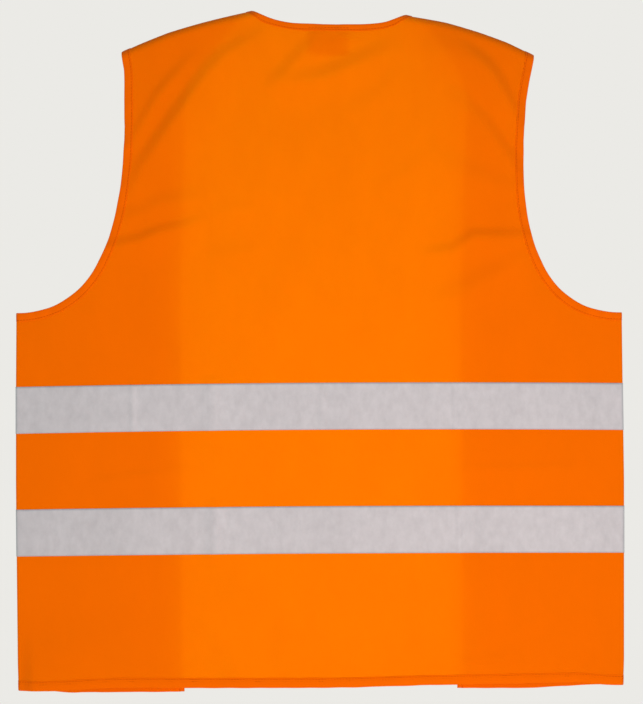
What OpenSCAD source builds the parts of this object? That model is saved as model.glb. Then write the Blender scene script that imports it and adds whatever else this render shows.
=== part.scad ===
// High visibility vest, hung open: a back panel, two narrow front panels, bound edges,
// two retroreflective bands, hook-and-loop closures and neck labels.
// +Z is up, the wearer's front faces -Y and the wearer's left is +X. The origin lies
// midway between the two neck points, where a hanger's hook rises.

/* [Body] */
// Width across the back, from side fold to side fold
body_w = 642; // [600:2:700]
// Height from the neck points down to the back hem
back_h = 717; // [680:1:760]
// How much lower the front hems hang than the back hem
front_drop = 4; // [0:1:10]
// Depth of the hung vest at its middle, outer face to outer face
hung_d = 42; // [36:1:60]
// Depth at the side folds, outer face to outer face
fold_d = 4.4; // [4:0.2:6]
// Thickness of the fabric
cloth_t = 1.6; // [1:0.1:1.6]

/* [Shoulders and neck] */
// Distance between the two neck points
neck_w = 165; // [150:1:180]
// Depth of the back neckline below the neck points
back_neck_drop = 13; // [10:1:20]
// Distance between the two shoulder tips
shoulder_w = 436; // [420:1:440]
// Drop of the shoulder tips below the neck points
shoulder_drop = 45; // [40:1:50]
// Level of the armholes' lowest points below the neck points
armhole_drop = 320; // [315:1:325]

/* [Fronts] */
// Distance between the two front edges as the vest hangs open
front_gap = 294; // [280:1:300]
// Depth below the neck points at which the V neckline meets the straight front edge
v_drop = 120; // [100:1:140]
// Clearance between the fixed and the swinging part of each front
split_gap = 0.6; // [0.4:0.1:1]

/* [Bindings] */
// Visible width of the neck and front edge binding
neck_bind_w = 7; // [6:0.5:8]
// Visible width of the armhole binding
arm_bind_w = 9; // [8:0.5:10]
// Visible width of the hem binding
hem_bind_w = 12; // [10:0.5:14]
// Thickness of a bound edge
bind_t = 2.2; // [1.8:0.1:2.4]

/* [Reflective bands] */
// Width of each retroreflective band
tape_w = 50; // [50:1:55]
// Thickness of each retroreflective band
tape_t = 0.6; // [0.4:0.1:0.8]
// Level of the upper band's middle below the neck points
upper_tape_drop = 422; // [410:1:430]
// Level of the lower band's middle below the neck points
lower_tape_drop = 553; // [545:1:560]

/* [Closures and labels] */
// Width of a hook or loop patch
patch_w = 25; // [20:1:30]
// Height of a hook or loop patch
patch_h = 62; // [50:1:70]
// Thickness of a hook or loop patch
patch_t = 1.4; // [1:0.1:1.6]
// Level of the lower patches' middle below the neck points
lower_patch_drop = 620; // [615:1:640]
// Width of the size label
size_label_w = 43; // [40:1:46]
// Height of the size label
size_label_h = 26; // [20:1:30]
// Width of the care label
care_label_w = 36; // [30:1:40]
// Height of the care label
care_label_h = 26; // [20:1:50]
// Thickness of a label
label_t = 0.6; // [0.5:0.1:0.8]

/* [Colours] */
// Fluorescent fabric
cloth_colour = "#fb7604"; // [#fb7604, #f4e21c]
// Bound edges
bind_colour = "#f26200"; // [#f26200, #e6d400]
// Retroreflective bands
tape_colour = "#c7c3c3"; // [#c7c3c3, #d8d8d8]
// Hook and loop patches
patch_colour = "#e65a08"; // [#e65a08, #202020]
// Labels
label_colour = "#f4f4f2"; // [#f4f4f2, #202020]

/* [Hidden] */
$fn = 1080;

half_w = body_w / 2;
half_neck = neck_w / 2;
half_shoulder = shoulder_w / 2;
half_gap = front_gap / 2;
front_h = back_h + front_drop;
curve_steps = 24;
spare = 5;              // how far a cutting shape runs past what it cuts
top_room = 40;          // height of the outer cylinders above the neck points

// The back and the fronts are shells cut from upright cylinders of this radius.
bulge = (hung_d - fold_d) / 2;
outer_r = (half_w * half_w + bulge * bulge) / (2 * bulge);
shell_y = hung_d / 2 - outer_r;

neck_point = [half_neck, 0];
shoulder_tip = [half_shoulder, -shoulder_drop];
armhole_end = [half_w, -armhole_drop];
v_end = [half_gap, -v_drop];
split_z = -armhole_drop - arm_bind_w - spare;
patch_inset = 6;        // from the front edge binding to a patch
patch_gap = 0.1;        // between a flat patch and the curved cloth
label_gap = 0.8;        // between the label seam and the back panel
label_drop = back_neck_drop + neck_bind_w + 1;

// How far each outline curve's handles lie from the points that they belong to, in X and Z
shoulder_in = [45, -11];        // at the neck point
shoulder_out = [-45, 19];       // at the shoulder tip
armhole_top = [-16, -135];      // at the shoulder tip
armhole_foot = [-109, 2];       // at the side
back_neck_middle = [45, 0];     // at the centre of the back
back_neck_end = [-20, -11];     // at the neck point
v_foot = [0, 45];               // where the V starts
v_head = [17, -50];             // at the neck point

function bezier(a, b, c, d, t) =
    pow(1 - t, 3) * a + 3 * pow(1 - t, 2) * t * b + 3 * (1 - t) * t * t * c + t * t * t * d;
function curve(a, b, c, d) = [for (i = [0 : curve_steps]) bezier(a, b, c, d, i / curve_steps)];
function reversed(points) = [for (i = [len(points) - 1 : -1 : 0]) points[i]];
function unit(v) = v / norm(v);
// The direction of a line of points at one of them
function tangent(points, i) =
    unit(points[min(i + 1, len(points) - 1)] - points[max(i - 1, 0)]);
// A line of points moved sideways: a positive distance moves it to the right of its run
function beside(points, distance) =
    [for (i = [0 : len(points) - 1])
        let (t = tangent(points, i)) points[i] + distance * [t[1], -t[0]]];
// All the points of a line but its last
function but_last(points) = [for (i = [0 : len(points) - 2]) points[i]];
// A line that starts on the centre plane, joined to its mirror image
function whole(points) = concat(
    [for (i = [len(points) - 1 : -1 : 1]) [-points[i][0], points[i][1]]], points);

// Outline curves of the wearer's left half, in X and Z
shoulder_line = curve(neck_point, neck_point + shoulder_in, shoulder_tip + shoulder_out, shoulder_tip);
armhole_line = curve(shoulder_tip, shoulder_tip + armhole_top, armhole_end + armhole_foot, armhole_end);
back_neck_line = curve([0, -back_neck_drop], [0, -back_neck_drop] + back_neck_middle,
                       neck_point + back_neck_end, neck_point);
v_line = curve(v_end, v_end + v_foot, neck_point + v_head, neck_point);

// One upright shell: the cloth at a given offset outside its outer face
module shell(inside, outside) {
    translate([0, shell_y, -front_h - spare])
        difference() {
            cylinder(h = front_h + top_room, r = outer_r + outside);
            translate([0, 0, -spare])
                cylinder(h = front_h + top_room + 2 * spare, r = outer_r + inside);
        }
}

// The space between the inner faces of the back and of the fronts
module inner_space() {
    intersection() {
        upright_cylinder(outer_r - cloth_t);
        at_front() upright_cylinder(outer_r - cloth_t);
    }
}

module upright_cylinder(r) {
    translate([0, shell_y, -front_h - spare])
        cylinder(h = front_h + top_room, r = r);
}

// A flat outline in X and Z, extruded from the centre plane backwards by the vest's depth
module back_half(points) {
    translate([0, hung_d, 0])
        rotate([90, 0, 0])
            linear_extrude(hung_d) polygon(points);
}

// The children on the wearer's left, side = 1, or mirrored to the right, side = -1
module on_side(side) {
    mirror([side < 0 ? 1 : 0, 0, 0]) children();
}

// The children moved from the back of the vest to its front
module at_front() {
    mirror([0, 1, 0]) children();
}

// A piece of the back's cloth, or of trim on it, between two offsets from the outer face
module back_piece(points, inside = -cloth_t, outside = 0) {
    intersection() {
        shell(inside, outside);
        back_half(points);
    }
}

// A bound edge stands proud of the cloth's outer face
module bound_edge(points) {
    back_piece(points, outside = bind_t - cloth_t);
}

// A reflective band lies on the cloth's outer face, around its level below the neck
module tape(x0, x1, drop) {
    back_piece(box_points(x0, x1, -drop - tape_w / 2, -drop + tape_w / 2), 0, tape_t);
}

// A flat patch on the back's shell: outwards on its outer face, or on its inner face
module patch(drop, outwards) {
    x = half_gap + neck_bind_w + patch_inset + patch_w / 2;
    r = outwards ? outer_r + patch_gap : outer_r - cloth_t - patch_gap - patch_t;
    translate([0, shell_y, -drop])
        rotate([0, 0, -asin(x / outer_r)])
            translate([-patch_w / 2, r, -patch_h / 2])
                cube([patch_w, patch_t, patch_h]);
}

function box_points(x0, x1, z0, z1) = [[x0, z0], [x1, z0], [x1, z1], [x0, z1]];

// Inner edges of the bindings that follow those curves
armhole_inner = concat(
    but_last(beside(armhole_line, arm_bind_w)),
    [armhole_end - [0, arm_bind_w]]);
neck_inner = beside(back_neck_line, neck_bind_w);
v_inner = concat(
    but_last(beside(v_line, neck_bind_w)),
    [neck_point + neck_bind_w * tangent(shoulder_line, 0)]);
ridge_line = [for (p = shoulder_line) if (p[0] > half_neck + neck_bind_w) p];
edge_x = half_gap + neck_bind_w;
middle_patch_drop = (upper_tape_drop + lower_tape_drop) / 2;

// Outlines in X and Z: of the whole back, and of the wearer's left half of the front
back_outline = whole(concat(
    neck_inner, shoulder_line, armhole_inner, [[half_w, -back_h + hem_bind_w]]));
upper_front_outline = concat(
    [[edge_x, split_z]], v_inner, ridge_line, armhole_inner, [[half_w, split_z]]);
front_outline = box_points(edge_x, half_w, -front_h + hem_bind_w, split_z - split_gap);
ridge_outline = concat(shoulder_line, reversed(beside(shoulder_line, cloth_t)));
armhole_strip = concat(armhole_line, reversed(armhole_inner));
back_neck_strip = concat(whole(back_neck_line), reversed(whole(neck_inner)));
front_neck_strip = concat(
    [[half_gap, split_z]], v_line, reversed(v_inner), [[edge_x, split_z]]);

module back_panel() {
    color(cloth_colour) back_piece(back_outline);
}

// The fixed upper part of a front, with the ridge of cloth that joins it to the back
module shoulder_panel(side) {
    color(cloth_colour) on_side(side) {
        at_front() back_piece(upper_front_outline);
        intersection() {
            inner_space();
            translate([0, -hung_d / 2, 0]) back_half(ridge_outline);
        }
    }
}

// The part of a front below the armhole, which swings about the side fold
module front_panel(side) {
    color(cloth_colour) on_side(side) at_front() back_piece(front_outline);
}

module back_neck_binding() {
    color(bind_colour) bound_edge(back_neck_strip);
}

module front_neck_binding(side) {
    color(bind_colour) on_side(side) at_front() bound_edge(front_neck_strip);
}

module back_armhole_binding(side) {
    color(bind_colour) on_side(side) bound_edge(armhole_strip);
}

module front_armhole_binding(side) {
    color(bind_colour) on_side(side) at_front() bound_edge(armhole_strip);
}

module front_edge_binding(side) {
    color(bind_colour) on_side(side) at_front()
        bound_edge(box_points(half_gap, edge_x, -front_h, split_z - split_gap));
}

module back_hem_binding() {
    color(bind_colour)
        bound_edge(box_points(-half_w, half_w, -back_h, -back_h + hem_bind_w));
}

module front_hem_binding(side) {
    color(bind_colour) on_side(side) at_front()
        bound_edge(box_points(edge_x, half_w, -front_h, -front_h + hem_bind_w));
}

module back_tape(drop) {
    color(tape_colour) tape(-half_w, half_w, drop);
}

module front_tape(side, drop) {
    color(tape_colour) on_side(side) at_front() tape(edge_x, half_w, drop);
}

// The left front closes over the right: hooks inside the left, loops outside the right
module hook_patch(drop) {
    color(patch_colour) on_side(1) at_front() patch(drop, false);
}

module loop_patch(drop) {
    color(patch_colour) on_side(-1) at_front() patch(drop, true);
}

// A label hung from the seam under the back neck binding, in the given layer
module label(w, h, layer) {
    color(label_colour)
        translate([-w / 2, hung_d / 2 - cloth_t - label_gap - (layer + 1) * label_t,
                   -label_drop - h])
            cube([w, label_t, h]);
}

module care_label() { label(care_label_w, care_label_h, 0); }
module size_label() { label(size_label_w, size_label_h, 1); }

back_panel();
shoulder_panel(1);  // left_shoulder_panel
shoulder_panel(-1);  // right_shoulder_panel
front_panel(1);  // left_front_panel
front_panel(-1);  // right_front_panel
back_neck_binding();
front_neck_binding(1);  // left_neck_binding
front_neck_binding(-1);  // right_neck_binding
back_armhole_binding(1);  // left_back_armhole_binding
back_armhole_binding(-1);  // right_back_armhole_binding
front_armhole_binding(1);  // left_front_armhole_binding
front_armhole_binding(-1);  // right_front_armhole_binding
front_edge_binding(1);  // left_front_edge_binding
front_edge_binding(-1);  // right_front_edge_binding
back_hem_binding();
front_hem_binding(1);  // left_front_hem_binding
front_hem_binding(-1);  // right_front_hem_binding
back_tape(upper_tape_drop);  // upper_back_tape
back_tape(lower_tape_drop);  // lower_back_tape
front_tape(1, upper_tape_drop);  // left_upper_front_tape
front_tape(-1, upper_tape_drop);  // right_upper_front_tape
front_tape(1, lower_tape_drop);  // left_lower_front_tape
front_tape(-1, lower_tape_drop);  // right_lower_front_tape
hook_patch(middle_patch_drop);  // left_upper_hook_patch
hook_patch(lower_patch_drop);  // left_lower_hook_patch
loop_patch(middle_patch_drop);  // right_upper_loop_patch
loop_patch(lower_patch_drop);  // right_lower_loop_patch
size_label();
care_label();
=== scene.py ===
"""The looks of the high visibility vest: knitted cloth, bound edges, reflective bands, closures and labels.

Every cloth-like piece is laid out on a flat pattern and placed by one function, placed(), which hangs the
pattern as the vest hangs. Pattern coordinates are x, across the vest, and v, up it, in metres: v is the
height of the cloth where it hangs straight down, and it goes on over the rolled shoulder ridge. Past the
side folds x goes on round the fold. All positions are in the frame: +Z up, the wearer's front towards -Y.
"""

import math

import bmesh
import bpy
import numpy as np
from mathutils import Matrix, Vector


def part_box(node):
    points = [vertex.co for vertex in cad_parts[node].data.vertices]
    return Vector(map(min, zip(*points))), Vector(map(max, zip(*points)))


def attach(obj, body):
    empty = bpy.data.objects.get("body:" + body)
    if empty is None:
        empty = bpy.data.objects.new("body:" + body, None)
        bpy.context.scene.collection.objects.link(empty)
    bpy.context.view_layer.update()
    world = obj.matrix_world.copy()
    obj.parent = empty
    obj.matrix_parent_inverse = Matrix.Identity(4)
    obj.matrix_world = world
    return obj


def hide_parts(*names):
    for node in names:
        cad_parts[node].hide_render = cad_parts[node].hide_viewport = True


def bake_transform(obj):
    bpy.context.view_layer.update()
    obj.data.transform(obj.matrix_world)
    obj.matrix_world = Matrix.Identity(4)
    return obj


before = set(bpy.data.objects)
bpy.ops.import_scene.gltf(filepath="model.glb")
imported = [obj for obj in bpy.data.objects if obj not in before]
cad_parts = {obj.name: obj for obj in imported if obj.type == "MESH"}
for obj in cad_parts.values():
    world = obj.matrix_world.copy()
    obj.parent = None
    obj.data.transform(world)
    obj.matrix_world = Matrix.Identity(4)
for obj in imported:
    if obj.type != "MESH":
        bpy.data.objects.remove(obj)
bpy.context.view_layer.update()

MM = 0.001
BACK, FRONT = 1, -1
SIDES = ((1, "left"), (-1, "right"))

# ---- sizes, from the frame


def low(node, axis):
    return float(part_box(node)[0][axis])


def high(node, axis):
    return float(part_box(node)[1][axis])


HALF_W = high("back_hem_binding", 0)
BACK_H = -low("back_hem_binding", 2)
FRONT_H = -low("left_front_hem_binding", 2)
HALF_GAP = low("left_front_edge_binding", 0)
HALF_DEPTH = high("back_panel", 1)
NECK_BIND = high("left_front_edge_binding", 0) - HALF_GAP
HEM_BIND = high("back_hem_binding", 2) + BACK_H
ARM_BIND = 9 * MM
HALF_NECK = low("left_neck_binding", 0)
HALF_SHOULDER = 218 * MM
SHOULDER_DROP = 45 * MM
ARMHOLE_DROP = 320 * MM
NECK_DROP = 13 * MM
V_DROP = 120 * MM

CLOTH_T = 0.5 * MM      # thickness of the knit
TAPE_T = 0.35 * MM
BIND_T = 1.5 * MM       # thickness of a bound edge
CELL = 3 * MM           # spacing of the cloth's grid
ROLL = 10 * MM          # height over which the cloth rolls over the shoulder ridge
SEAM = 6 * MM           # how far in front of the ridge the shoulder seam lies
BACK_FOLD_R = 2.7 * MM  # the back's cloth goes round the side fold outside the front's
FRONT_FOLD_R = 1.0 * MM
FRONT_SAG = 4 * MM      # how much lower the loose fronts hang than they are cut
BACK_FOLD_END = math.radians(112)
FRONT_FOLD_END = math.radians(85)
FRONT_BAND_END = 1.0    # how far round the side fold the fronts' bands go, in radians
FRONT_HEM_END = math.radians(45)    # and the fronts' hems, inside the back's
FOLD_STEPS = 6          # rows of faces round a side fold
PATTERN_TOP = 60 * MM   # a height above everything in the pattern


# ---- outlines of the pattern


def bezier(a, b, c, d, n=48):
    t = np.linspace(0, 1, n)[:, None]
    a, b, c, d = (np.array(p, float) for p in (a, b, c, d))
    return (1 - t) ** 3 * a + 3 * (1 - t) ** 2 * t * b + 3 * (1 - t) * t * t * c + t**3 * d


NECK_POINT = (HALF_NECK, 0.0)
SHOULDER_TIP = (HALF_SHOULDER, -SHOULDER_DROP)
# Seen from behind, on the wearer's left, in x and z
SHOULDER = bezier(NECK_POINT, (HALF_NECK + 45 * MM, -11 * MM),
                  (HALF_SHOULDER - 45 * MM, -SHOULDER_DROP + 19 * MM), SHOULDER_TIP)
ARMHOLE = bezier(SHOULDER_TIP, (HALF_SHOULDER - 16 * MM, -180 * MM),
                 (HALF_W - 109 * MM, -318 * MM), (HALF_W, -ARMHOLE_DROP), 96)
BACK_NECK = bezier((0, -NECK_DROP), (45 * MM, -NECK_DROP), (HALF_NECK - 20 * MM, -11 * MM), NECK_POINT)
V_NECK = bezier((HALF_GAP, -V_DROP), (HALF_GAP, -V_DROP + 45 * MM),
                (HALF_NECK + 17 * MM, -50 * MM), NECK_POINT)


def ridge_z(x):
    """Height of the shoulder ridge at x, carried on straight past its ends."""
    ax = np.abs(x)
    z = np.interp(ax, SHOULDER[:, 0], SHOULDER[:, 1])
    first = (SHOULDER[1, 1] - SHOULDER[0, 1]) / (SHOULDER[1, 0] - SHOULDER[0, 0])
    last = (SHOULDER[-1, 1] - SHOULDER[-2, 1]) / (SHOULDER[-1, 0] - SHOULDER[-2, 0])
    z = np.where(ax < HALF_NECK, first * (ax - HALF_NECK), z)
    return np.where(ax > HALF_SHOULDER, -SHOULDER_DROP + last * (ax - HALF_SHOULDER), z)


def from_ridge(face, x, above):
    """A line in the pattern at a distance above the shoulder ridge."""
    return np.stack([x, ridge_v(face, x) + above], 1)


def fold_radius(face):
    return BACK_FOLD_R if face == BACK else FRONT_FOLD_R


def fold_angle(face):
    """How far the cloth goes on round the side fold."""
    return BACK_FOLD_END if face == BACK else FRONT_FOLD_END


def fold_end(face):
    """Pattern position of the end of the cloth round the side fold."""
    return HALF_W + fold_radius(face) * fold_angle(face)


def round_fold(face, angle):
    """Pattern positions from the side fold round it by an angle."""
    return HALF_W + fold_radius(face) * np.linspace(0, angle, FOLD_STEPS + 1)[1:]


def hang_depth(face, x):
    """Distance of the hanging cloth from the centre plane."""
    r = fold_radius(face)
    share = np.clip(np.abs(x) / HALF_W, 0, 1)
    return r + (HALF_DEPTH - CLOTH_T - r) * (1 - share**2)


def roll_length(face, x):
    y = hang_depth(face, x)
    return math.pi / 2 * np.sqrt((y * y + ROLL * ROLL) / 2)


def ridge_v(face, x):
    """Where the shoulder ridge is in the pattern, in which v is z wherever the cloth hangs straight."""
    return ridge_z(x) - ROLL + roll_length(face, x)


def to_pattern(face, line):
    """A line seen from behind, in x and z, as pattern x and v."""
    x, z = line[:, 0], line[:, 1]
    drop = np.maximum(ridge_z(x) - z, 0)
    length = roll_length(face, x)
    rolled = length * 2 / math.pi * np.arccos(np.clip(1 - drop / ROLL, -1, 1))
    along = np.where(drop < ROLL, rolled, length + drop - ROLL)
    return np.stack([x, ridge_v(face, x) - along], 1)


# ---- how the cloth hangs


def smooth(a, b, t):
    """0 below a, 1 above b, smooth between. Works with a above b too."""
    s = np.clip((t - a) / (b - a), 0, 1)
    return s * s * (3 - 2 * s)


def crease(x, z, points, height, steep, wide):
    """A fold along a line of points in mm. The cloth steps out on the right of the line as it runs, within
    steep mm of it, and falls back over wide mm."""
    p = np.array(points, float) * MM
    lengths = np.linalg.norm(np.diff(p, axis=0), axis=1)
    best, side, along = np.full(x.shape, 1e9), np.zeros(x.shape), np.zeros(x.shape)
    done = 0.0
    for a, b, length in zip(p[:-1], p[1:], lengths):
        d = (b - a) / length
        t = np.clip((x - a[0]) * d[0] + (z - a[1]) * d[1], 0, length)
        dx, dz = x - a[0] - t * d[0], z - a[1] - t * d[1]
        dist = np.hypot(dx, dz)
        near = dist < best
        best = np.where(near, dist, best)
        side = np.where(near, np.sign(d[1] * dx - d[0] * dz), side)
        along = np.where(near, (done + t) / lengths.sum(), along)
        done += length
    signed = best * side
    step = smooth(-steep * MM, steep * MM, signed)
    fall = np.exp(-((np.maximum(signed, 0) / (wide * MM)) ** 2))
    return height * MM * step * fall * np.sin(np.clip(along, 0, 1) * math.pi) ** 0.7


def ripples(x, z, seed, scale, n=9):
    """Soft irregular waves between about -1 and 1, mostly running down the cloth."""
    rng = np.random.RandomState(seed)
    out = np.zeros(np.shape(x))
    for _ in range(n):
        angle = rng.normal(0, 0.5)
        k = rng.uniform(0.6, 1.6) * 2 * math.pi / scale
        phase = rng.uniform(0, 2 * math.pi)
        out = out + np.sin(k * (x * math.cos(angle) + z * 0.6 * math.sin(angle)) + phase)
    return out / math.sqrt(n)


# Each fold: points in mm along its steep side, height, half-width of the steep side, width of the other
BACK_FOLDS = [
    # from the left shoulder to the armhole
    ([(60, -5), (75, -20), (110, -45), (130, -65), (150, -95), (175, -130), (195, -160), (210, -200)],
     7, 8.5, 38),
    ([(135, -40), (155, -60), (180, -90), (200, -125), (215, -150)], 3.6, 6.5, 16),
    # from the right armhole up to the right shoulder
    ([(-220, -135), (-205, -105), (-185, -75), (-170, -55), (-145, -35), (-120, -10)], 7, 7.5, 34),
    ([(-220, -190), (-205, -160), (-190, -140), (-170, -115), (-150, -95), (-130, -80)], 5, 7.5, 28),
    ([(-220, -195), (-205, -185), (-155, -165), (-130, -150)], 2.4, 10, 26),
    # across the middle of the armholes
    ([(-240, -235), (-190, -235), (-160, -235), (-140, -250), (-100, -255)], 5, 7.5, 24),
    ([(-240, -245), (-215, -255), (-190, -270), (-140, -295), (-110, -305)], 3, 11, 28),
    ([(120, -215), (145, -225), (170, -230), (195, -240), (245, -250)], 4.6, 7, 22),
    ([(120, -190), (145, -195), (175, -200), (195, -210), (225, -220)], 2.6, 9, 20),
    # below the back of the neck
    ([(-75, -28), (-50, -38), (-25, -50), (5, -64), (35, -70), (65, -66)], 6, 11, 24),
    ([(10, -14), (22, -32), (36, -48), (52, -66), (66, -84)], 5, 9, 24),
    ([(-40, -26), (-22, -24), (-4, -20)], 1.6, 5, 12),
    ([(-85, -50), (-75, -55), (-55, -80), (-35, -95), (-20, -110)], 2, 11, 26),
    # slight ones in the upper middle
    ([(-120, -140), (-105, -150), (-75, -175), (-60, -190)], 1.6, 10, 26),
    ([(60, -250), (90, -250), (125, -255)], 1.6, 9, 22),
    ([(70, -200), (90, -205), (115, -205)], 1.5, 9, 22),
    # between the bands, and at the hem
    ([(-310, -480), (-215, -485), (-160, -485), (-130, -490)], 1, 5, 18),
    ([(130, -485), (155, -485), (225, -495), (250, -500)], 0.9, 5, 18),
    ([(-215, -680), (-200, -685), (-150, -690), (-120, -695)], 1.4, 7, 18),
    ([(320, -640), (305, -662), (280, -682), (240, -694)], 2.2, 10, 26)]
FRONT_FOLDS = [
    ([(95, -20), (120, -50), (145, -90), (180, -140), (210, -195)], 4, 7, 26),
    ([(150, -50), (170, -80), (195, -120), (210, -160)], 2.6, 6, 18),
    ([(-210, -190), (-190, -150), (-155, -100), (-125, -60), (-105, -25)], 4.2, 7, 26),
    ([(-215, -240), (-190, -230), (-160, -225), (-130, -230)], 3, 7, 22),
    ([(140, -235), (170, -245), (205, -250), (235, -255)], 2.8, 7, 22),
    ([(160, -310), (180, -350), (190, -390)], 2.2, 12, 30),
    ([(-185, -395), (-175, -350), (-165, -300)], 2.2, 12, 30),
    ([(170, -480), (230, -490), (290, -490)], 1.2, 7, 20),
    ([(-280, -485), (-230, -495), (-175, -490)], 1.2, 7, 20)]
# Creases across the reflective bands, which are stiff: height of the band, and x, height and half-width
BAND_CREASES = [
    (-422, [(198, 0.7, 2.6), (113, 1.6, 9), (-3, 0.5, 3), (-144, 0.8, 2.6), (-158, -0.7, 6)]),
    (-553, [(111, 1.6, 8), (-147, 0.8, 2.6), (-163, -0.7, 6), (20, 0.3, 5)])]
FREE_EDGE_IN = 8 * MM   # how far the fronts' free edges hang in towards the back
CURL_OUT = 5 * MM       # how far the curled corner of the hem stands out
CURL_DROOP = 4 * MM     # how much lower it hangs


def curled(x, z):
    """How much the hem's left corner is curled there, 0 to 1."""
    return smooth(200 * MM, 310 * MM, x) * smooth(-640 * MM, -715 * MM, z)


def relief(face, x, z):
    """How far the cloth stands out from its smooth hang."""
    out = np.zeros(x.shape)
    for fold in BACK_FOLDS if face == BACK else FRONT_FOLDS:
        out += crease(x, z, *fold)
    if face == BACK:
        out += 0.8 * MM * ripples(x, z, 3, 0.30)
        out += 0.25 * MM * ripples(z * 0.8, x * 1.2, 5, 0.12)
        for level, creases in BAND_CREASES:
            within = 1 - smooth(27 * MM, 36 * MM, np.abs(z - level * MM))
            for middle, height, width in creases:
                out += height * MM * within * np.exp(-(((x - middle * MM) / (width * MM)) ** 2))
    else:
        free = smooth(HALF_W, HALF_GAP, np.abs(x))
        out += (0.7 + 1.6 * free) * MM * ripples(x, z, 11, 0.16)
        out += 0.3 * MM * ripples(z * 0.8, x * 1.2, 12, 0.10)
        out -= FREE_EDGE_IN * free * smooth(-60 * MM, -200 * MM, z)
    out *= smooth(HALF_W - 2 * MM, HALF_W - 60 * MM, np.abs(x))
    out += CURL_OUT * curled(x, z) * smooth(HALF_W, HALF_W - 16 * MM, x)
    return out * smooth(-2 * MM, 40 * MM, ridge_z(x) - z)


# How the hung vest leans: height, and how far its left and its right side are moved along x there, in mm
LEAN = [
    (-720, -2.5, -0.5), (-690, -1.5, -1.5), (-600, -0.5, -1.5), (-500, 0.5, -1.5), (-400, 0.5, 0),
    (-320, 0, 1), (-260, -0.5, -0.5), (-200, -2, -2.5), (-150, -4, -4.5), (-95, -6, -6), (-65, -8, -9),
    (-45, -6, -11.5), (0, -10, -10)]
# How uneven its top edge hangs: x, and the height added there, in mm
TOP_EDGE = [
    (-218, -0.5), (-190, 2), (-160, 2), (-125, 1), (-90, -2.5), (-60, -3.5), (0, -2), (40, -1.5),
    (60, 0), (80, 1.5), (105, 2.5), (140, 4), (170, 5), (200, 4), (218, 3)]
SIDE_TILT = 0.0065      # the left side hangs lower by this much of x
HEM_RISE = 1.8 * MM     # how much higher the right half of the hem hangs
HEM_DROOP = 4 * MM      # how much its corner droops again
BAND_BOW = 3 * MM       # how much higher the middle of the bands hangs than their ends
NORMAL_STEP = 0.4 * MM  # how far apart the points are that give the cloth's direction


def from_table(rows, at, column=1):
    """A value between the rows of a table in millimetres, in metres."""
    table = np.array(rows, float) * MM
    return np.interp(at, table[:, 0], table[:, column])


def leaning(p):
    """The whole vest hangs slightly askew: its top leans to the wearer's right, its left side is lower."""
    x, z = p[:, 0].copy(), p[:, 2].copy()
    share = np.clip(x / HALF_W, -1, 1) / 2 + 0.5
    p[:, 0] += share * from_table(LEAN, z, 1) + (1 - share) * from_table(LEAN, z, 2)
    p[:, 2] += from_table(TOP_EDGE, x) * smooth(-160 * MM, -50 * MM, z)
    p[:, 2] -= SIDE_TILT * x * smooth(-300 * MM, -370 * MM, z)
    hem = HEM_RISE * smooth(0, -130 * MM, x) - HEM_DROOP * smooth(-265 * MM, -HALF_W, x)
    p[:, 2] += hem * smooth(-600 * MM, -720 * MM, z)
    bow = smooth(-320 * MM, -420 * MM, z) * smooth(-700 * MM, -600 * MM, z)
    p[:, 2] += BAND_BOW * bow * (1 - (x / HALF_W) ** 2)
    p[:, 2] -= CURL_DROOP * curled(x, z)
    return p


def placed(face, x, v, lift=0.0):
    """Positions in the frame of pattern points, at a height above the middle of the cloth."""
    x, v = np.asarray(x, float), np.asarray(v, float)
    lift = np.broadcast_to(np.asarray(lift, float), x.shape)
    middle = hung(face, x, v)
    across = hung(face, x + NORMAL_STEP, v) - middle
    up = hung(face, x, v + NORMAL_STEP) - middle
    normal = np.cross(up, across) if face == BACK else np.cross(across, up)
    return leaning(middle + unit(normal) * lift[:, None])


def hung(face, x, v):
    """The middle of the cloth as it hangs straight, before the vest leans."""
    sign, ax = np.sign(x), np.abs(x)
    xc = np.minimum(ax, HALF_W)
    depth = hang_depth(face, xc)
    length = roll_length(face, xc)
    top = ridge_z(xc)
    along = ridge_v(face, xc) - v
    phi = np.clip(along / length, -1, 1) * math.pi / 2
    y = depth * np.sin(phi)
    z = top - np.where(np.abs(along) > length, ROLL + np.abs(along) - length, ROLL * (1 - np.cos(phi)))
    y = y + relief(face, sign * xc, z)
    if face == FRONT:
        sag = FRONT_SAG * smooth(-450 * MM, -700 * MM, z) * smooth(HALF_W, HALF_W - 60 * MM, xc)
        # The front is cut longer than the back, and at the side fold its hem runs on from the back's
        rise = (FRONT_H - BACK_H) * smooth(-640 * MM, -700 * MM, z) * smooth(HALF_W - 120 * MM, HALF_W, xc)
        z = z + rise - sag
    turn = np.maximum(ax - HALF_W, 0) / fold_radius(face)
    out_x = sign * (xc + fold_radius(face) * np.sin(turn))
    y = np.where(turn > 0, fold_radius(face) * np.cos(turn), y)
    return np.stack([out_x, face * y, z], 1)


# ---- meshes

SAME_PLACE = 0.01 * MM  # points closer than this are one


def new_piece(name, verts, faces, uv=None, materials=(), slots=None):
    mesh = bpy.data.meshes.new(name)
    mesh.from_pydata([tuple(p) for p in verts], [], [tuple(int(i) for i in f) for f in faces])
    for m in materials:
        mesh.materials.append(m)
    if uv is not None:
        layer = mesh.uv_layers.new(name="Pattern")
        loops = np.zeros(len(mesh.loops), int)
        mesh.loops.foreach_get("vertex_index", loops)
        layer.data.foreach_set("uv", np.asarray(uv, np.float32)[loops].ravel())
    if slots is not None:
        mesh.polygons.foreach_set("material_index", np.asarray(slots, np.int32))
    mesh.polygons.foreach_set("use_smooth", np.ones(len(mesh.polygons), bool))
    mesh.validate()
    mesh.update()
    piece = bpy.data.objects.new(name, mesh)
    bpy.context.scene.collection.objects.link(piece)
    return piece


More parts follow.
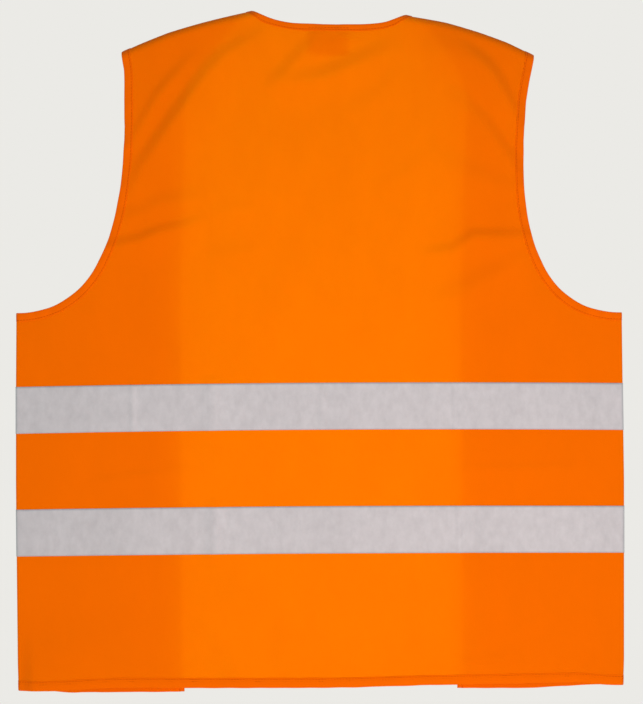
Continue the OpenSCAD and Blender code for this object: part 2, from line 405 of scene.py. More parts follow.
def inside(outline, points):
    """Which points lie inside a closed outline."""
    x, y = points[:, 0], points[:, 1]
    hit = np.zeros(len(points), bool)
    for (x0, y0), (x1, y1) in zip(outline, np.roll(outline, -1, axis=0)):
        if y0 == y1:
            continue
        crossing = (y0 > y) != (y1 > y)
        hit ^= crossing & (x < (x1 - x0) * (y - y0) / (y1 - y0) + x0)
    return hit


def nearest_on(outline, points):
    """The closest points on a closed outline."""
    best = np.full(len(points), 1e9)
    found = points.copy()
    for a, b in zip(outline, np.roll(outline, -1, axis=0)):
        d = b - a
        length2 = d @ d
        if length2 < 1e-16:
            continue
        t = np.clip(((points - a) @ d) / length2, 0, 1)
        q = a + t[:, None] * d
        dist = np.linalg.norm(points - q, axis=1)
        near = dist < best
        best[near] = dist[near]
        found[near] = q[near]
    return found


def grid(xs, vs):
    """The points and quads of a grid in the pattern."""
    nv = len(vs)
    gx, gv = np.meshgrid(xs, vs, indexing="ij")
    i, j = np.meshgrid(np.arange(len(xs) - 1), np.arange(nv - 1), indexing="ij")
    first = i * nv + j
    quads = np.stack([first, first + nv, first + nv + 1, first + 1], -1).reshape(-1, 4)
    return np.stack([gx.ravel(), gv.ravel()], 1), quads


def grid_in(outline, xs, vs):
    """A grid that fills an outline, with its border moved onto the outline."""
    points, quads = grid(xs, vs)
    quads = quads[inside(outline, points[quads].mean(1))]
    count = np.bincount(quads.ravel(), minlength=len(points))
    used = np.flatnonzero(count)
    border = np.flatnonzero((count > 0) & (count < 4))
    points[border] = nearest_on(outline, points[border])
    number = np.full(len(points), -1)
    number[used] = np.arange(len(used))
    return points[used], number[quads]


def unit(rows):
    """Each row as a direction of length 1."""
    return rows / np.maximum(np.linalg.norm(rows, axis=1, keepdims=True), 1e-12)


def distances(line):
    """How far along a line each of its points is."""
    return np.r_[0, np.cumsum(np.linalg.norm(np.diff(line, axis=0), axis=1))]


def closed_sheet(front, back, quads):
    """A sheet of quads with its other face and its rim."""
    n = len(front)
    edges = {(a, b): True for q in quads for a, b in zip(q, np.roll(q, -1))}
    rim = [(b, a, a + n, b + n) for a, b in edges if (b, a) not in edges]
    return np.vstack([front, back]), list(quads) + list(quads[:, ::-1] + n) + rim


def hanging_sheet(face, points, quads, thickness, lift):
    """A closed sheet that follows the hanging cloth: its vertices, faces and pattern coordinates."""
    outer = placed(face, *points.T, lift + thickness / 2)
    inner = placed(face, *points.T, lift - thickness / 2)
    turned = quads if face == FRONT else quads[:, ::-1]
    return *closed_sheet(outer, inner, turned), np.vstack([points, points])


def sheet_piece(name, face, points, quads, thickness, lift, material):
    piece = new_piece(name, *hanging_sheet(face, points, quads, thickness, lift), [material])
    drop_empty_faces(piece.data)
    return piece


def drop_empty_faces(mesh):
    """Joins points that were moved to one place on an outline, so that every face has an area."""
    edit = bmesh.new()
    edit.from_mesh(mesh)
    bmesh.ops.dissolve_degenerate(edit, dist=SAME_PLACE, edges=edit.edges[:])
    edit.to_mesh(mesh)
    edit.free()


def spaced(a, b, step):
    """Even positions from a to b, about a step apart."""
    return np.linspace(a, b, max(2, int(round(abs(b - a) / step)) + 1))


def resampled(line, step):
    """The same line with points at even distances."""
    d = distances(line)
    at = np.linspace(0, d[-1], max(3, int(round(d[-1] / step)) + 1))
    return np.stack([np.interp(at, d, line[:, k]) for k in range(line.shape[1])], 1)


# ---- materials


class Nodes:
    """A short way to write the nodes of a material or a world."""

    def __init__(self, owner):
        owner.use_nodes = True
        self.owner, self.tree = owner, owner.node_tree
        self.tree.nodes.clear()

    def add(self, kind, inputs=None, **settings):
        """A new node, from its kind without the usual prefix, its inputs and its settings."""
        node = self.tree.nodes.new("ShaderNode" + kind)
        for key, value in settings.items():
            setattr(node, key, value)
        for key, value in (inputs or {}).items():
            if isinstance(value, bpy.types.NodeSocket):
                self.tree.links.new(value, node.inputs[key])
            else:
                node.inputs[key].default_value = value
        return node

    def first(self, *args, **settings):
        """The first output of a new node."""
        return self.add(*args, **settings).outputs[0]

    def maths(self, operation, a, b=0.0):
        return self.first("Math", {0: a, 1: b}, operation=operation)

    def mixed(self, a, share_a, b, share_b):
        """Two values added in shares."""
        return self.maths("ADD", self.maths("MULTIPLY", a, share_a), self.maths("MULTIPLY", b, share_b))

    def voronoi(self, vector, scale):
        return self.first("TexVoronoi", {"Vector": vector, "Scale": scale}, feature="F1")

    def pattern(self):
        """Pattern coordinates in millimetres: both, across, up."""
        uv = self.first("UVMap", uv_map="Pattern")
        mm = self.first("VectorMath", {0: uv, 1: (1000, 1000, 1000)}, operation="MULTIPLY")
        split = self.add("SeparateXYZ", {0: mm})
        return mm, split.outputs[0], split.outputs[1]

    def noise(self, vector, size_mm, stretch=(1, 1, 1), detail=3.0, rough=0.6):
        scaled = self.first("VectorMath", {0: vector, 1: stretch}, operation="MULTIPLY")
        return self.first("TexNoise", {"Vector": scaled, "Scale": 1 / size_mm, "Detail": detail,
                                       "Roughness": rough})

    def wave(self, coordinate, pitch_mm):
        """A sine wave of 0 to 1 along a coordinate in millimetres."""
        sine = self.maths("SINE", self.maths("MULTIPLY", coordinate, 2 * math.pi / pitch_mm))
        return self.first("Math", {0: sine, 1: 0.5, 2: 0.5}, operation="MULTIPLY_ADD")

    def between(self, factor, a, b, low_in=0.0, high_in=1.0):
        """A colour between a and b, as factor goes from low_in to high_in."""
        ranged = self.value(factor, 0.0, 1.0, low_in, high_in)
        return self.add("Mix", {0: ranged, 6: (*a, 1), 7: (*b, 1)}, data_type="RGBA").outputs[2]

    def value(self, factor, a, b, low_in=0.0, high_in=1.0):
        """A number between a and b, as factor goes from low_in to high_in."""
        return self.first("MapRange", {0: factor, 1: low_in, 2: high_in, 3: a, 4: b})

    def bump(self, height, strength, distance_mm):
        inputs = {"Height": height, "Strength": strength, "Distance": distance_mm * MM}
        return self.first("Bump", inputs)

    def shader(self, **inputs):
        named = {key.replace("_", " "): value for key, value in inputs.items()}
        return self.first("BsdfPrincipled", named)

    def dyed(self, sheen=0.0, **inputs):
        """The shader of dyed fibres, whose gloss and sheen are warm."""
        if sheen:
            inputs = {**inputs, "Sheen_Weight": sheen, "Sheen_Tint": (*WARM_GLOSS, 1)}
        return self.shader(Specular_Tint=(*WARM_GLOSS, 1), **inputs)

    def translucent(self, colour, **inputs):
        return self.first("BsdfTranslucent", {"Color": colour, **inputs})

    def mix(self, share, a, b):
        return self.first("MixShader", {0: share, 1: a, 2: b})

    def out(self, surface, kind="OutputMaterial"):
        self.add(kind, {"Surface": surface})
        return self.owner


def new_nodes(name):
    return Nodes(bpy.data.materials.new(name))


WARM_GLOSS = (1.0, 0.30, 0.02)


def shade(colour, factor):
    return tuple(c * factor for c in colour)


def knit_material(name, colour, through, through_share):
    """Fine weft knit: rows of small loops, a little fluff, and light that comes through it."""
    n = new_nodes(name)
    mm, across, up = n.pattern()
    fibres = n.noise(mm, 0.9, (0.5, 2.2, 1), 4)
    cloudy = n.noise(mm, 40, (1, 0.5, 1), 3)
    rows = n.wave(up, COURSE_MM)
    loops = n.wave(across, WALE_MM)
    knit = n.maths("MULTIPLY", n.value(rows, 0.35, 1.0), n.value(loops, 0.7, 1.0))
    height = n.maths("ADD", knit, n.maths("MULTIPLY", fibres, 0.9))
    soft = n.mixed(cloudy, 0.7, fibres, 0.3)
    base = n.between(soft, shade(colour, 0.985), shade(colour, 1.01), 0.35, 0.65)
    lit = n.between(soft, shade(through, 0.97), shade(through, 1.03), 0.35, 0.65)
    normal = n.bump(height, 0.35, 0.12)
    surface = n.dyed(0.1, Base_Color=base, Roughness=n.value(fibres, 0.72, 0.9), Normal=normal,
                     Specular_IOR_Level=0.12, Sheen_Roughness=0.5)
    return n.out(n.mix(through_share, surface, n.translucent(lit, Normal=normal)))


def binding_material(name, colour):
    """Ribbed binding tape: fine ribs across its run and a slight mottle."""
    n = new_nodes(name)
    mm, along, _ = n.pattern()
    fibres = n.noise(mm, 0.7, (1.6, 0.6, 1), 4)
    cloudy = n.noise(mm, 14, detail=2)
    ribs = n.wave(along, RIB_MM)
    height = n.maths("ADD", n.maths("MULTIPLY", ribs, 0.6), fibres)
    soft = n.mixed(cloudy, 0.6, fibres, 0.4)
    base = n.between(soft, shade(colour, 0.9), shade(colour, 1.06), 0.3, 0.7)
    return n.out(n.dyed(0.08, Base_Color=base, Roughness=n.value(fibres, 0.65, 0.85),
                        Normal=n.bump(height, 0.4, 0.15), Specular_IOR_Level=0.15, Sheen_Roughness=0.5))


def thread_material(name, colour):
    """Twisted thread, mottled along its run."""
    n = new_nodes(name)
    spot = n.add("TexCoord").outputs["Object"]
    twist = n.noise(spot, 0.0004, detail=2)
    base = n.between(twist, shade(colour, 0.85), shade(colour, 1.1), 0.3, 0.7)
    return n.out(n.dyed(Base_Color=base, Roughness=n.value(twist, 0.45, 0.65), Specular_IOR_Level=0.2))


def band_material(name, colour):
    """Retroreflective film: a grey metallic layer under glass beads, faintly mottled and creased."""
    n = new_nodes(name)
    mm = n.pattern()[0]
    beads = n.voronoi(mm, 2.4)
    grain = n.noise(mm, 0.8, detail=4)
    blotch = n.noise(mm, 9, (1, 0.6, 1), 4, 0.65)
    broad = n.noise(mm, 70, (1, 0.15, 1), 2)
    tone = n.maths("ADD", n.maths("MULTIPLY", blotch, 0.55), n.mixed(grain, 0.2, broad, 0.25))
    base = n.between(tone, shade(colour, 0.9), shade(colour, 1.08), 0.36, 0.64)
    height = n.maths("ADD", beads, n.maths("MULTIPLY", blotch, 0.8))
    return n.out(n.shader(Base_Color=base, Metallic=0.15, Roughness=n.value(grain, 0.55, 0.7),
                          Normal=n.bump(height, 0.25, 0.1), Specular_IOR_Level=0.3))


def pile_material(name, colour, size_mm):
    """Hook or loop tape: a dense pile of nylon."""
    n = new_nodes(name)
    mm = n.pattern()[0]
    fluff = n.noise(mm, size_mm * 1.5, detail=4)
    pile = n.mixed(n.voronoi(mm, 1 / size_mm), 0.6, fluff, 0.6)
    base = n.between(pile, shade(colour, 1.12), shade(colour, 0.7), 0.3, 0.9)
    return n.out(n.dyed(0.1, Base_Color=base, Roughness=n.value(fluff, 0.5, 0.8),
                        Normal=n.bump(fluff, 0.6, 0.3), Specular_IOR_Level=0.2))


def label_material(name, colour):
    """Satin label ribbon, woven fine."""
    n = new_nodes(name)
    mm, across, up = n.pattern()
    weave = n.maths("MULTIPLY", n.wave(across, 0.5), n.wave(up, 0.5))
    mottle = n.noise(mm, 6, detail=3)
    base = n.between(mottle, shade(colour, 0.94), shade(colour, 1.04), 0.35, 0.65)
    satin = n.shader(Base_Color=base, Roughness=n.value(mottle, 0.38, 0.5),
                     Normal=n.bump(weave, 0.3, 0.05), Specular_IOR_Level=0.5)
    return n.out(n.mix(0.85, satin, n.translucent(base)))


COURSE_MM, WALE_MM = 1.1, 0.8   # the knit's rows and columns of loops
RIB_MM = 1.2                    # the ribs of the binding tape
ORANGE = (0.95, 0.158, 0.0)
ORANGE_THROUGH = (0.6, 0.52, 0.0)
BOUND_ORANGE = (0.68, 0.100, 0.0)
CLOTH = knit_material("orange_knit", ORANGE, ORANGE_THROUGH, 0.35)
HEM_CLOTH = knit_material("orange_hem_knit", (0.84, 0.128, 0.0), ORANGE_THROUGH, 0.2)
BINDING = binding_material("orange_binding", BOUND_ORANGE)
THREAD = thread_material("orange_thread", (0.40, 0.052, 0.0))
BAND = band_material("silver_band", (0.395, 0.382, 0.388))
HOOKS = pile_material("orange_hooks", (0.62, 0.085, 0.0), 0.8)
LOOPS = pile_material("orange_loops", (0.74, 0.105, 0.0), 1.3)
LABEL = label_material("white_label", (0.88, 0.88, 0.86))
PRINT = thread_material("grey_print", (0.08, 0.08, 0.09))


# ---- meshes in parts


class Parts:
    """Collects the meshes of one piece: its faces, their pattern coordinates and material numbers."""

    def __init__(self):
        self.verts, self.uv, self.faces, self.slots = [], [], [], []
        self.count = 0

    def add(self, verts, faces, uv=None, slot=0):
        faces = [tuple(int(i) + self.count for i in f) for f in faces]
        self.verts.append(verts)
        self.uv.append(np.zeros((len(verts), 2)) if uv is None else uv)
        self.faces += faces
        self.slots += [slot] * len(faces)
        self.count += len(verts)

    def piece(self, name, materials):
        return new_piece(name, np.vstack(self.verts), self.faces, np.vstack(self.uv), materials, self.slots)


def swept(rings, around):
    """Faces of a tube whose points are stored ring by ring, with its ends capped."""
    faces = []
    for r in range(rings - 1):
        for a in range(around):
            b = (a + 1) % around
            first = r * around
            faces.append((first + a, first + b, first + around + b, first + around + a))
    last = (rings - 1) * around
    return faces + [tuple(range(around))[::-1], tuple(last + a for a in range(around))]


# ---- stitches

STITCH_PITCH = 3.2 * MM
STITCH_LENGTH = 2.5 * MM
THREAD_R = 0.24 * MM
# Along a stitch, as shares of its length from its middle, and its thickness there
STITCH_SHAPE = [(-0.5, 0.25), (-0.32, 0.95), (0.32, 0.95), (0.5, 0.25)]
THREAD_SIDES = 5


def stitches(parts, face, line, lift, slot=1, pitch=STITCH_PITCH):
    """A row of separate stitches along a line in the pattern."""
    even = resampled(np.asarray(line, float), pitch)
    middle = (even[1:] + even[:-1]) / 2
    run = unit(even[1:] - even[:-1])
    side = np.stack([-run[:, 1], run[:, 0]], 1)
    length = STITCH_LENGTH * pitch / STITCH_PITCH
    rings = []
    for along, fat in STITCH_SHAPE:
        for a in range(THREAD_SIDES):
            angle = 2 * math.pi * a / THREAD_SIDES
            p = middle + run * (along * length) + side * (THREAD_R * fat * math.cos(angle))
            rings.append(placed(face, *p.T, lift + THREAD_R * fat * math.sin(angle)))
    verts = np.stack(rings, 1)
    faces = swept(len(STITCH_SHAPE), THREAD_SIDES)
    if face == BACK:
        faces = [f[::-1] for f in faces]
    for one in verts:
        parts.add(one, faces, slot=slot)


# ---- bound edges

# A folded binding in section, from its inner edge on the outside of the vest to the cloth's edge: share
# of its width into the cloth, millimetres added to that, and share of half its thickness
BINDING_SECTION = [
    (1, 0, 0.30), (1, -0.35, 0.85), (1, -1.1, 0.95), (1, -1.7, 0.62), (1, -2.3, 1.0),
    (0.35, 0, 1.08), (0, 0.9, 1.0), (0, 0.2, 0.75), (0, -0.15, 0.28)]
STITCH_IN = 1.7 * MM    # from a binding's inner edge to its stitches
STITCH_SUNK = 0.36      # height of the stitches over the middle of a binding, in shares of its thickness
BINDING_STEP = 2.5 * MM
FRONT_BIND_T = 1.4 * MM


def edging(name, face, line, inward, width, thickness=BIND_T, rows=(STITCH_IN,), material=None):
    """A binding folded over an edge of the cloth, with rows of stitches on both sides of it.
    The cloth lies on the right of the line as it runs, or on its left where inward is -1."""
    line = resampled(np.asarray(line, float), BINDING_STEP)
    run = unit(np.gradient(line, axis=0))
    into = inward * np.stack([run[:, 1], -run[:, 0]], 1)
    along = distances(line)
    ring = BINDING_SECTION + [(share, mm, -out) for share, mm, out in BINDING_SECTION[::-1]]
    zero = along * 0
    pucker = 1 + 0.10 * ripples(along, zero, 21, 0.018, 5)
    verts, uv = [], []
    for share, mm, out in ring:
        wander = 0.15 * MM * ripples(along, zero + share, 22, 0.03, 4)
        d = share * width + mm * MM + wander
        p = line + into * d[:, None]
        verts.append(placed(face, *p.T, out * pucker * thickness / 2))
        uv.append(np.stack([along, d], 1))
    k, n = len(ring), len(line)
    verts = np.stack(verts, 1).reshape(-1, 3)
    uv = np.stack(uv, 1).reshape(-1, 2)
    faces = swept(n, k)
    if (face == BACK) != (inward > 0):
        faces = [f[::-1] for f in faces]
    parts = Parts()
    parts.add(verts, faces, uv)
    for offset in rows:
        row = line + into * (width - offset)
        for side in (1, -1):
            stitches(parts, face, row, side * thickness * STITCH_SUNK)
    return parts.piece(name, [material or BINDING, THREAD])


def mirrored(line, side):
    return line if side > 0 else line * [-1, 1]


def front_line(line, wanted):
    """A front edge in the pattern, how far below the ridge it is, and its x at wanted distances."""
    front = to_pattern(FRONT, line)
    beyond = ridge_v(FRONT, front[:, 0]) - front[:, 1]
    order = np.argsort(beyond)
    return front, beyond, np.interp(wanted, beyond[order], front[order, 0])


def over_ridge(line, length):
    """The back cloth's edge from the shoulder ridge to the seam in front of it."""
    wanted = np.linspace(0, length, 5)[1:]
    x = front_line(line, wanted)[2]
    return from_ridge(BACK, x, wanted)


def below_seam(line, length):
    """The part of a front edge that lies a length or more below the ridge."""
    front, beyond, x = front_line(line, length)
    first = [x, float(ridge_v(FRONT, x)) - length]
    kept = front[beyond > length]
    return np.vstack([[first], kept] if beyond[0] < beyond[-1] else [kept, [first]])


def back_neck_line():
    half = np.vstack([to_pattern(BACK, BACK_NECK), over_ridge(V_NECK, SEAM)])
    return np.vstack([half[::-1] * [-1, 1], half[1:]])


def back_arm_line():
    """From the seam over the ridge, down the armhole and round the side fold."""
    return np.vstack([over_ridge(ARMHOLE, SEAM)[::-1], to_pattern(BACK, ARMHOLE),
                      [[fold_end(BACK), -ARMHOLE_DROP]]])


def front_arm_line():
    return np.vstack([below_seam(ARMHOLE, SEAM / 2), [[HALF_W + 1 * MM, -ARMHOLE_DROP]]])


def front_edge_line():
    return np.vstack([[[HALF_GAP, -FRONT_H]], below_seam(V_NECK, SEAM / 2)])


HEM_W = HEM_BIND - 1.5 * MM
HEM_ROWS = (1.4 * MM, 3.6 * MM)
FRONT_HEM_T = 1.25 * MM


def make_edgings():
    """All bound edges and hems."""
    neck = edging("back_neck_edging", BACK, back_neck_line(), 1, NECK_BIND)
    hem = edging("back_hem", BACK, [[-fold_end(BACK), -BACK_H], [fold_end(BACK), -BACK_H]], -1,
                 HEM_W, BIND_T, HEM_ROWS, HEM_CLOTH)
    ride_as(neck, "back", "binding", "back_neck_binding")
    ride_as(hem, "back", "binding", "back_hem_binding")
    made = {"back": [neck, hem]}
    for side, word in SIDES:
        body = word + "_front"
        back_arm = edging(word + "_back_armhole_edging", BACK, mirrored(back_arm_line(), side), side,
                          ARM_BIND)
        ride_as(back_arm, "back", "binding", word + "_back_armhole_binding")
        edge = edging(body + "_edging", FRONT, mirrored(front_edge_line(), side), side, NECK_BIND,
                      FRONT_BIND_T)
        blend_as(edge, body, "binding", word + "_neck_binding", body + "_edge_binding")
        arm = edging(body + "_armhole_edging", FRONT, mirrored(front_arm_line(), side), side, ARM_BIND,
                     FRONT_BIND_T)
        blend_as(arm, body, "binding", word + "_front_armhole_binding")
        hem_line = np.array([[HALF_GAP + NECK_BIND * 0.6, -FRONT_H],
                             [HALF_W + FRONT_FOLD_R * FRONT_HEM_END, -FRONT_H]])
        bottom = edging(body + "_hem", FRONT, mirrored(hem_line, side), -side, HEM_W, FRONT_HEM_T,
                        HEM_ROWS, HEM_CLOTH)
        ride_as(bottom, body, "binding", body + "_hem_binding")
        made["back"].append(back_arm)
        made[body] = [edge, arm, bottom]
    return made


def ride_as(piece, body, slot, *nodes):
    """For what moves with one body."""
    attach(piece, body)
    if nodes:
        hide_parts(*nodes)
    return piece


def blend_as(piece, body, slot, *nodes):
    """For what crosses from a shoulder to a front that opens: fixes it where it stands and hides the parts
    it stands for.
    """
    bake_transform(piece)
    if nodes:
        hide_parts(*nodes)
    return piece


# ---- the cloth


def back_outline():
    neck = to_pattern(BACK, BACK_NECK)
    seam = from_ridge(BACK, SHOULDER[3:-3, 0], SEAM)
    side = fold_end(BACK)
    half = np.vstack([neck, over_ridge(V_NECK, SEAM), seam, back_arm_line(), [[side, -BACK_H]]])
    return np.vstack([half, half[::-1] * [-1, 1]])


def front_outline():
    arm = below_seam(ARMHOLE, SEAM / 2)
    seam = from_ridge(FRONT, SHOULDER[3:-3, 0], -SEAM / 2)
    side = fold_end(FRONT)
    return np.vstack([front_edge_line(), seam, arm, [[side, -ARMHOLE_DROP]], [[side, -FRONT_H]]])


NECK_IN = 72 * MM       # a distance from the fronts' free edges towards the middle, past their neck points


def make_back_cloth():
    turn = round_fold(BACK, BACK_FOLD_END)
    xs = np.r_[-turn[::-1], spaced(-HALF_W, HALF_W, CELL), turn]
    points, quads = grid_in(back_outline(), xs, spaced(-BACK_H, PATTERN_TOP, CELL))
    return sheet_piece("back_cloth", BACK, points, quads, CLOTH_T, 0, CLOTH)


def make_front_cloth(side, name):
    xs = np.r_[spaced(HALF_GAP - NECK_IN, HALF_W, CELL), round_fold(FRONT, FRONT_FOLD_END)]
    points, quads = grid_in(front_outline(), xs, spaced(-FRONT_H, PATTERN_TOP, CELL))
    if side < 0:
        points, quads = points * [-1, 1], quads[:, ::-1]
    return sheet_piece(name, FRONT, points, quads, CLOTH_T, 0, CLOTH)


def make_shoulder_seam(side, name):
    """The overlocked seam allowance inside the shoulder, and the stitches of the seam outside."""
    trim = 8 * MM
    x = np.linspace(HALF_NECK + trim, HALF_SHOULDER - trim, 60)
    line = from_ridge(BACK, x, SEAM - 1.5 * MM)
    lift = CLOTH_T / 2 + THREAD_R / 2
    parts = Parts()
    stitches(parts, BACK, mirrored(line, side), lift, slot=0)
    for offset in (0.0, 1.2 * MM, 2.4 * MM):
        stitches(parts, BACK, mirrored(line - [0, offset], side), -lift, slot=0)
    return parts.piece(name, [THREAD])


# ---- reflective bands

BAND_LIFT = CLOTH_T / 2 + TAPE_T / 2 + 0.04 * MM


def make_band(name, face, x0, x1, node, ends):
    """A band of tape bonded to the cloth. ends says at which sides it goes on round the fold: -1 or 1."""
    turn = round_fold(face, BACK_FOLD_END if face == BACK else FRONT_BAND_END)
    xs = spaced(x0, x1, 2 * MM)
    if 1 in ends:
        xs = np.r_[xs, turn]
    if -1 in ends:
        xs = np.r_[-turn[::-1], xs]
    vs = spaced(low(node, 2), high(node, 2), 2.5 * MM)
    return sheet_piece(name, face, *grid(xs, vs), TAPE_T, BAND_LIFT, BAND)


def make_bands():
    made = {"back": [], "left_front": [], "right_front": []}
    for level in ("upper", "lower"):
        back = make_band(level + "_back_band", BACK, -HALF_W, HALF_W, level + "_back_tape", (-1, 1))
        made["back"].append(ride_as(back, "back", "reflective_tape", level + "_back_tape"))
        for side, word in SIDES:
            node = f"{word}_{level}_front_tape"
            inner, outer = sorted((side * (HALF_GAP + NECK_BIND - 1 * MM), side * HALF_W))
            band = make_band(f"{word}_{level}_front_band", FRONT, inner, outer, node, (side,))
            body = word + "_front"
            made[body].append(ride_as(band, body, "reflective_tape", node))
    return made


# ---- closures

PATCH_BASE = 0.5 * MM
PATCH_EDGE = 1.6 * MM
# A hook and a loop of the closure, as distances along and out from the patch in shares of their height
HOOK_PATH = [(0, 0), (0.05, 0.5), (0.2, 0.85), (0.45, 0.95), (0.62, 0.78), (0.6, 0.6)]
LOOP_PATH = [(-0.35, 0), (-0.55, 0.45), (-0.3, 0.9), (0.15, 1.0), (0.5, 0.6), (0.4, 0)]
PILE_R = 0.14 * MM
PILE_SIDES = 3
PILE_JITTER = 0.22      # how far the filaments stand from their rows, in shares of the pitch
PILE_TURN = 0.4         # how far they are turned from their rows, in radians


def make_patch(name, node, outward, path, height, pitch, material):
    """A piece of hook or loop tape, sewn on round its border, with its hooks or loops standing up."""
    x0, x1 = low(node, 0), high(node, 0)
    z0, z1 = low(node, 2), high(node, 2)
    lift = outward * (CLOTH_T / 2 + PATCH_BASE / 2 + 0.05 * MM)
    xs, vs = spaced(x0, x1, 3 * MM), spaced(z0, z1, 3 * MM)
    points, quads = grid_in(rounded_box(x0, x1, z0, z1, 2.5 * MM), xs, vs)
    parts = Parts()
    parts.add(*hanging_sheet(FRONT, points, quads, PATCH_BASE, lift))
    top = lift + outward * PATCH_BASE / 2
    border = rounded_box(x0 + PATCH_EDGE, x1 - PATCH_EDGE, z0 + PATCH_EDGE, z1 - PATCH_EDGE, 1.5 * MM)
    border = np.vstack([border, border[:1]])
    for level in (top, -lift * 0.6):
        stitches(parts, FRONT, border, level, pitch=2.4 * MM)
    inset = PATCH_EDGE + 1.2 * MM
    gx, gz = np.meshgrid(np.arange(x0 + inset, x1 - inset, pitch), np.arange(z0 + inset, z1 - inset, pitch))
    rng = np.random.RandomState(int(abs(z0) * 1000))
    jitter = pitch * PILE_JITTER
    gx = gx.ravel() + rng.uniform(-jitter, jitter, gx.size)
    gz = gz.ravel() + rng.uniform(-jitter, jitter, gz.size)
    turn = rng.uniform(-PILE_TURN, PILE_TURN, gx.size) + rng.randint(0, 2, gx.size) * math.pi
    add_pile(parts, gx, gz, turn, np.array(path) * height, top, outward)
    return parts.piece(name, [material, THREAD])


def add_pile(parts, gx, gz, turn, line, top, outward):
    """One thin three-sided filament for each point, along a line that stands on the patch."""
    run = unit(np.gradient(line, axis=0))
    rings = []
    for (along, out), (run_along, run_out) in zip(line, run):
        for a in range(PILE_SIDES):
            angle = 2 * math.pi * a / PILE_SIDES
            beside, w = PILE_R * math.cos(angle), PILE_R * math.sin(angle)
            s, h = along + beside * run_out, out - beside * run_along
            x = gx + s * np.cos(turn) - w * np.sin(turn)
            v = gz + s * np.sin(turn) + w * np.cos(turn)
            rings.append(placed(FRONT, x, v, top + outward * h))
    verts = np.stack(rings, 1)
    faces = swept(len(line), PILE_SIDES)
    if outward < 0:
        faces = [f[::-1] for f in faces]
    for one in verts:
        parts.add(one, faces)


def rounded_box(x0, x1, z0, z1, radius):
    corners = [(x1 - radius, z1 - radius, 0), (x0 + radius, z1 - radius, 90),
               (x0 + radius, z0 + radius, 180), (x1 - radius, z0 + radius, 270)]
    points = []
    for x, z, start in corners:
        for k in range(5):
            angle = math.radians(start + 22.5 * k)
            points.append((x + radius * math.cos(angle), z + radius * math.sin(angle)))
    return np.array(points)


# Where each kind is, which way it faces, and its filaments' path, height, pitch and material
CLOSURES = [("left", "hook", -1, HOOK_PATH, 0.8 * MM, 1.5 * MM, HOOKS),
            ("right", "loop", 1, LOOP_PATH, 1.1 * MM, 1.3 * MM, LOOPS)]


def make_closures():
    made = {"left_front": [], "right_front": []}
    for level in ("upper", "lower"):
        for side, kind, *rest in CLOSURES:
            node, body = f"{side}_{level}_{kind}_patch", side + "_front"
            patch = make_patch(f"{side}_{level}_{kind}s", node, *rest)
            made[body].append(ride_as(patch, body, kind + "_patch", node))
    return made


# ---- labels

LABEL_T = 0.25 * MM
LABEL_UNEVEN = 0.35     # how much a label's curl differs across it, as a share of the curl
LABEL_WAVE = 0.3 * MM   # how far it waves on the way down


def make_label(name, node, curl, seed, marks):
    """A label that hangs from the neck binding, sewn in at its top, with a slight curl."""
    lo, hi = (np.array(corner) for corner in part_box(node))
    width, height = hi[0] - lo[0], hi[2] - lo[2]
    middle, depth = (lo[0] + hi[0]) / 2, (lo[1] + hi[1]) / 2
    points, quads = grid(spaced(-width / 2, width / 2, 1.5 * MM), spaced(0, height, 1.5 * MM))
    u, w = points.T

    def at(u, w, lift):
        share = w / height
        uneven = 1 + LABEL_UNEVEN * np.sin(2.6 * u / width + seed)
        bend = curl * share**2 * uneven + LABEL_WAVE * np.sin(5 * share + seed) * share
        return leaning(np.stack([middle + u, depth - bend + lift, hi[2] - w], 1))

    parts = Parts()
    front, back = at(u, w, -LABEL_T / 2), at(u, w, LABEL_T / 2)
    parts.add(*closed_sheet(front, back, quads[:, [0, 3, 2, 1]]), np.tile(np.stack([u, -w], 1), (2, 1)))
    for row in marks:
        add_marks(parts, at, width, *row)
    label = parts.piece(name, [LABEL, PRINT])
    return ride_as(label, "neck_labels", "label", node), (float(width), float(height))


def add_marks(parts, at, width, top, bar_height, bars):
    """Blank printed bars across a label: each bar is a start and an end, in shares of its width."""
    for start, end in bars:
        us = np.linspace((start - 0.5) * width, (end - 0.5) * width, 6)
        u, w = np.repeat(us, 2), np.tile([top * MM, (top + bar_height) * MM], 6)
        quads = np.array([(2 * k, 2 * k + 1, 2 * k + 3, 2 * k + 2) for k in range(5)])
        front, back = (at(u, w, lift * MM - LABEL_T / 2) for lift in (-0.06, 0.02))
        parts.add(*closed_sheet(front, back, quads), slot=1)


def make_label_stitches():
    """The row that holds the labels, which shows on the outside of the neck binding too."""
    x = np.linspace(low("size_label", 0), high("size_label", 0), 30)
    neck = to_pattern(BACK, BACK_NECK)
    v = np.interp(np.abs(x), neck[:, 0], neck[:, 1]) - NECK_BIND + 3.3 * MM
    parts = Parts()
    for side in (1, -1):
        stitches(parts, BACK, np.stack([x, v], 1), side * BIND_T * 0.55, slot=0)
    return ride_as(parts.piece("label_stitches", [THREAD]), "back", "binding")


# ---- floor, light and camera


def floor_material():
    """A pale matt floor, lit a little from within so that it stays near the backdrop's tone."""
    n = new_nodes("pale_floor")
    spot = n.add("TexCoord").outputs["Object"]
    tone = n.noise(spot, 0.6, detail=3)
    base = n.between(tone, (0.87, 0.79, 0.75), (0.90, 0.82, 0.78), 0.3, 0.7)
    return n.out(n.shader(Base_Color=base, Roughness=0.85, Specular_IOR_Level=0.1,
                          Emission_Color=(1.0, 0.93, 0.88, 1), Emission_Strength=0.2))


def make_floor():
    """A pale round floor below the hanging vest."""
    radius, z, ring = 1.5, -1.05, 96
    turns = [2 * math.pi * k / ring for k in range(ring)]
    verts = [(0, 0, z)] + [(radius * math.cos(a), radius * math.sin(a), z) for a in turns]
    faces = [(0, 1 + k, 1 + (k + 1) % ring) for k in range(ring)]
    new_piece("floor", verts, faces, materials=[floor_material()])


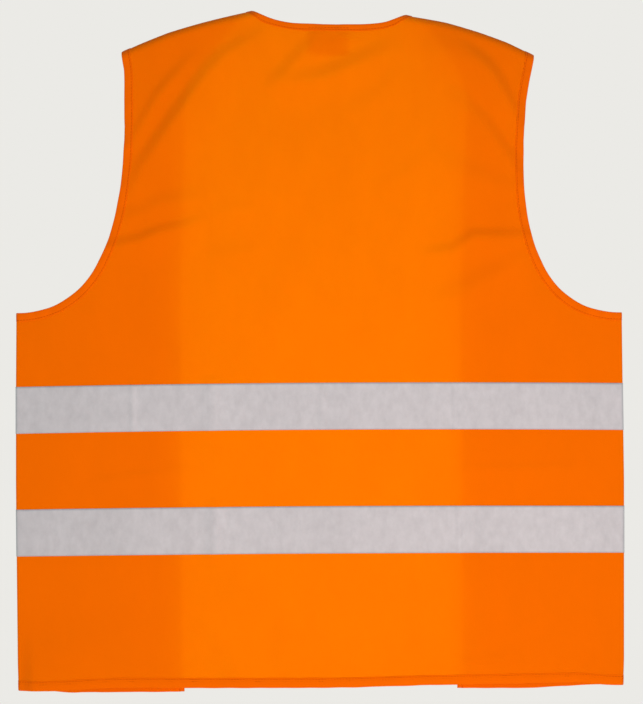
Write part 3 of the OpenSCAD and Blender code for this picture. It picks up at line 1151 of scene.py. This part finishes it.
BACKDROP = (0.831, 0.823, 0.791)
COOL_AMBIENT = (0.70, 0.88, 0.90)
AMBIENT = 0.74


def make_world():
    """A pale backdrop all round, which lights the scene less strongly than it shows."""
    n = Nodes(bpy.data.worlds.new("studio"))
    lit = n.first("Background", {0: (*COOL_AMBIENT, 1), 1: AMBIENT})
    shown = n.first("Background", {0: (*BACKDROP, 1)})
    seen = n.add("LightPath").outputs["Is Camera Ray"]
    bpy.context.scene.world = n.out(n.mix(seen, lit, shown), "OutputWorld")


KEY_COLOUR = (1.0, 0.80, 0.79)
SPREAD = math.radians(90)
VEST_MIDDLE = (0, 0, -0.36)


def make_light(name, place, size, power):
    data = bpy.data.lights.new(name, "AREA")
    data.shape = "DISK"
    data.size = size
    data.energy = power
    data.spread = SPREAD
    data.color = KEY_COLOUR
    lamp = bpy.data.objects.new(name, data)
    bpy.context.scene.collection.objects.link(lamp)
    lamp.location = place
    lamp.rotation_euler = (Vector(VEST_MIDDLE) - Vector(place)).to_track_quat("-Z", "Y").to_euler()


def make_lights():
    make_light("key", (-0.75, 2.1, -0.95), 0.6, 8.6)
    make_light("front_key", (0.12, -2.1, -0.95), 0.5, 8.0)
    make_light("back_fill", (0.8, 2.3, -0.7), 1.2, 3.4)
    make_light("front_fill", (-0.8, -2.3, -0.5), 1.2, 2.8)


LENS_MM = 100
CAMERA_PLACE = (-0.0021, 2.09, -0.3618)


def make_camera():
    """Looks at the back of the vest, square on."""
    data = bpy.data.cameras.new("camera")
    data.lens = LENS_MM
    camera = bpy.data.objects.new("camera", data)
    bpy.context.scene.collection.objects.link(camera)
    camera.location = CAMERA_PLACE
    camera.rotation_euler = (math.radians(90), 0, math.radians(180))
    bpy.context.scene.camera = camera


# ---- the vest

# Plain printed bars: distance from the label's top and height in mm, and where each starts and ends
SIZE_MARKS = [(10, 1.6, [(0.24, 0.76)]), (15, 1.0, [(0.32, 0.68)])]
CARE_MARKS = [(row, 0.7, [(0.12, end)]) for row, end in
              [(5, 0.8), (8, 0.66), (11, 0.86), (14, 0.74), (17, 0.5), (20, 0.82), (23, 0.7)]]


def make_vest():
    """All pieces; the parts of the frame that the sheets of cloth stand for are hidden."""
    pieces = {"back": [], "left_front": [], "right_front": []}
    for made in (make_edgings(), make_bands(), make_closures()):
        for body, some in made.items():
            pieces[body] += some
    back = ride_as(make_back_cloth(), "back", "cloth", "back_panel")
    for side, word in SIDES:
        body = word + "_front"
        cloth = make_front_cloth(side, body + "_cloth")
        blend_as(cloth, body, "cloth", word + "_shoulder_panel", body + "_panel")
        seam = make_shoulder_seam(side, word + "_shoulder_seam")
        pieces["back"].append(ride_as(seam, "back", "cloth"))
    pieces["back"].append(make_label_stitches())
    size, flat = make_label("size_tag", "size_label", 1.6 * MM, 0.4, SIZE_MARKS)
    care, flat = make_label("care_tag", "care_label", -0.4 * MM, 1.3, CARE_MARKS)


make_world()
make_lights()
make_floor()
make_camera()
make_vest()
bpy.context.scene.view_settings.view_transform = "Standard"
